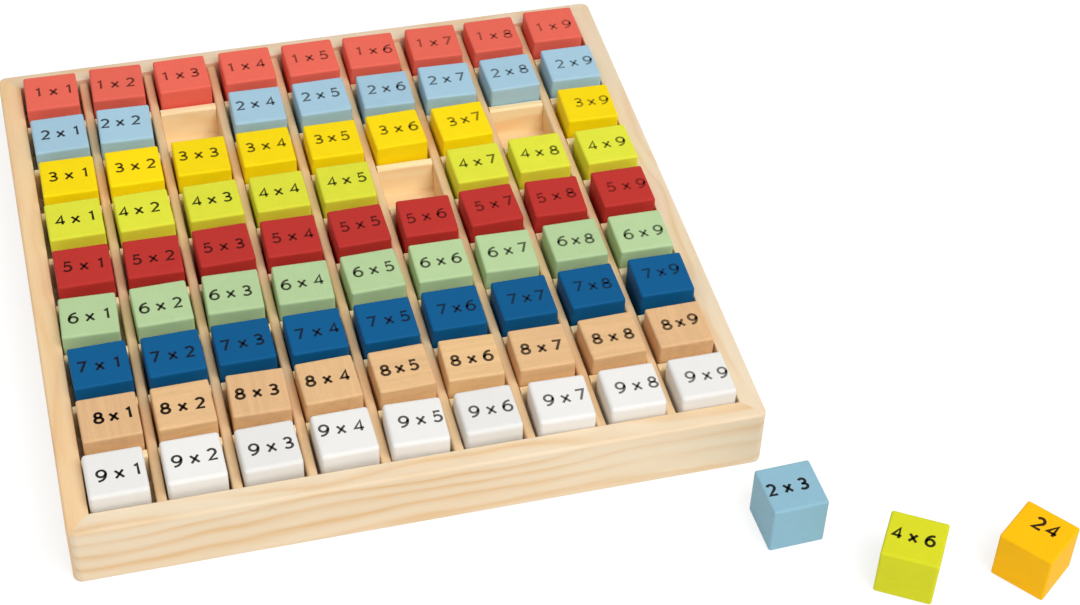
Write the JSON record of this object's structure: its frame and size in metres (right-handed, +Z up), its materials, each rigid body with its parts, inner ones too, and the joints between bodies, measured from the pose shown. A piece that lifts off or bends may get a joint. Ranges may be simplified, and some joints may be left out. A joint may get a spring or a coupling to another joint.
{
  "type": "multiplication cube board",
  "caption": "Square wooden tray with a mitred frame and a grid of open cells for painted cubes; a few cubes lie loose beside it and leave their cells empty.",
  "frame": {"origin": "middle of the front rail's underside, on the plane that the tray stands on", "axes": "+X to the right along a row of the table, +Y away from the reader towards the first row, +Z up"},
  "size_m": [0.4074, 0.3994, 0.0375],
  "materials": {
    "pine_rail": "clear satin lacquer",
    "pine_strip": "sanded, unfinished",
    "plywood": "sanded, unfinished",
    "coral_paint": "satin paint on wood",
    "light_blue_paint": "satin paint on wood",
    "yellow_paint": "satin paint on wood",
    "lime_paint": "satin paint on wood",
    "dark_red_paint": "satin paint on wood",
    "pale_green_paint": "satin paint on wood",
    "deep_blue_paint": "satin paint on wood",
    "bare_beech": "clear satin lacquer",
    "white_paint": "satin paint on wood"
  },
  "bodies": {
    "root": {"rail_front": "pine_rail", "rail_right": "pine_rail", "rail_back": "pine_rail", "rail_left": "pine_rail", "floor_panel": "plywood", "column_strip_1": "pine_strip", "column_strip_2": "pine_strip", "column_strip_3": "pine_strip", "column_strip_4": "pine_strip", "column_strip_5": "pine_strip", "column_strip_6": "pine_strip", "column_strip_7": "pine_strip", "column_strip_8": "pine_strip", "cross_strip_1": "pine_strip", "cross_strip_2": "pine_strip", "cross_strip_3": "pine_strip", "cross_strip_4": "pine_strip", "cross_strip_5": "pine_strip", "cross_strip_6": "pine_strip", "cross_strip_7": "pine_strip", "cross_strip_8": "pine_strip", "cubes_row_1": "coral_paint", "cubes_row_2": "light_blue_paint", "cubes_row_3": "yellow_paint", "cubes_row_4": "lime_paint", "cubes_row_5": "dark_red_paint", "cubes_row_6": "pale_green_paint", "cubes_row_7": "deep_blue_paint", "cubes_row_8": "bare_beech", "cubes_row_9": "white_paint", "loose_cube_2x3": "light_blue_paint", "loose_cube_3x8": "yellow_paint", "loose_cube_4x6": "lime_paint"}
  },
  "joints": []
}
